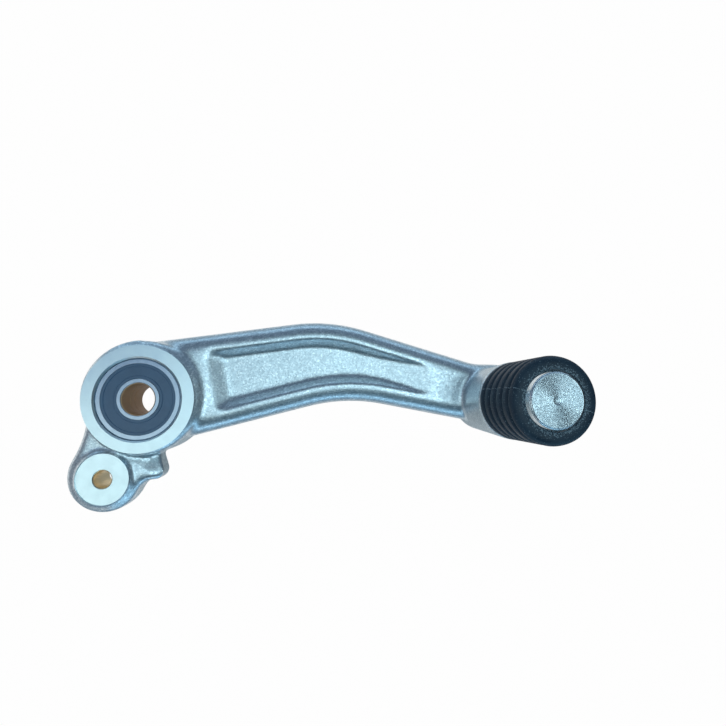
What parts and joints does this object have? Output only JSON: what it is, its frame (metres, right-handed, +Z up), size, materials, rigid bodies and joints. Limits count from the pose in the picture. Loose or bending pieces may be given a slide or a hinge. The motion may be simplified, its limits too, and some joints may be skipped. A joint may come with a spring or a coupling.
{
  "type": "motorbike brake pedal",
  "caption": "Cast brake pedal that swings on sealed pivot bearings, with a bent hollowed arm, a push-rod eye, a stop lug and a peg with a ribbed rubber sleeve.",
  "frame": {"origin": "on the pivot axis, at the middle of the hub's width", "axes": "+X along the arm from the pivot to the peg, -Y to the outer side that the peg points to, +Z up"},
  "size_m": [0.1516, 0.0604, 0.0621],
  "materials": {
    "cast_alloy": "shot blasted, machined at the hub and eye faces",
    "peg_rubber": "moulded, slight sheen",
    "bearing_steel": "ground",
    "ball_steel": "polished",
    "seal_rubber": "moulded, matte",
    "cage_nylon": "moulded"
  },
  "bodies": {
    "core": {"front_inner_race": "bearing_steel", "spacer_sleeve": "bearing_steel", "rear_inner_race": "bearing_steel"},
    "lever": {"pedal_lever": "cast_alloy", "peg_sleeve": "peg_rubber", "front_outer_race": "bearing_steel", "front_outer_seal": "seal_rubber", "front_inner_seal": "seal_rubber", "rear_outer_race": "bearing_steel", "rear_outer_seal": "seal_rubber", "rear_inner_seal": "seal_rubber"},
    "front_ball_set": {"front_cage": "cage_nylon", "front_ball_1": "ball_steel", "front_ball_2": "ball_steel", "front_ball_3": "ball_steel", "front_ball_4": "ball_steel", "front_ball_5": "ball_steel", "front_ball_6": "ball_steel", "front_ball_7": "ball_steel"},
    "rear_ball_set": {"rear_cage": "cage_nylon", "rear_ball_1": "ball_steel", "rear_ball_2": "ball_steel", "rear_ball_3": "ball_steel", "rear_ball_4": "ball_steel", "rear_ball_5": "ball_steel", "rear_ball_6": "ball_steel", "rear_ball_7": "ball_steel"}
  },
  "joints": [
    {"name": "pedal_swing", "type": "hinge", "parent": "core", "child": "lever", "pos_m": [0, 0, 0], "axis": [0, 1, 0], "continuous": true},
    {"name": "front_cage_spin", "type": "hinge", "parent": "core", "child": "front_ball_set", "pos_m": [0, 0, 0], "axis": [0, 1, 0], "continuous": true},
    {"name": "rear_cage_spin", "type": "hinge", "parent": "core", "child": "rear_ball_set", "pos_m": [0, 0, 0], "axis": [0, 1, 0], "continuous": true}
  ],
  "couplings": [
    {"joint": "front_cage_spin", "follows": "pedal_swing", "ratio": 0.63229},
    {"joint": "rear_cage_spin", "follows": "pedal_swing", "ratio": 0.63229}
  ]
}
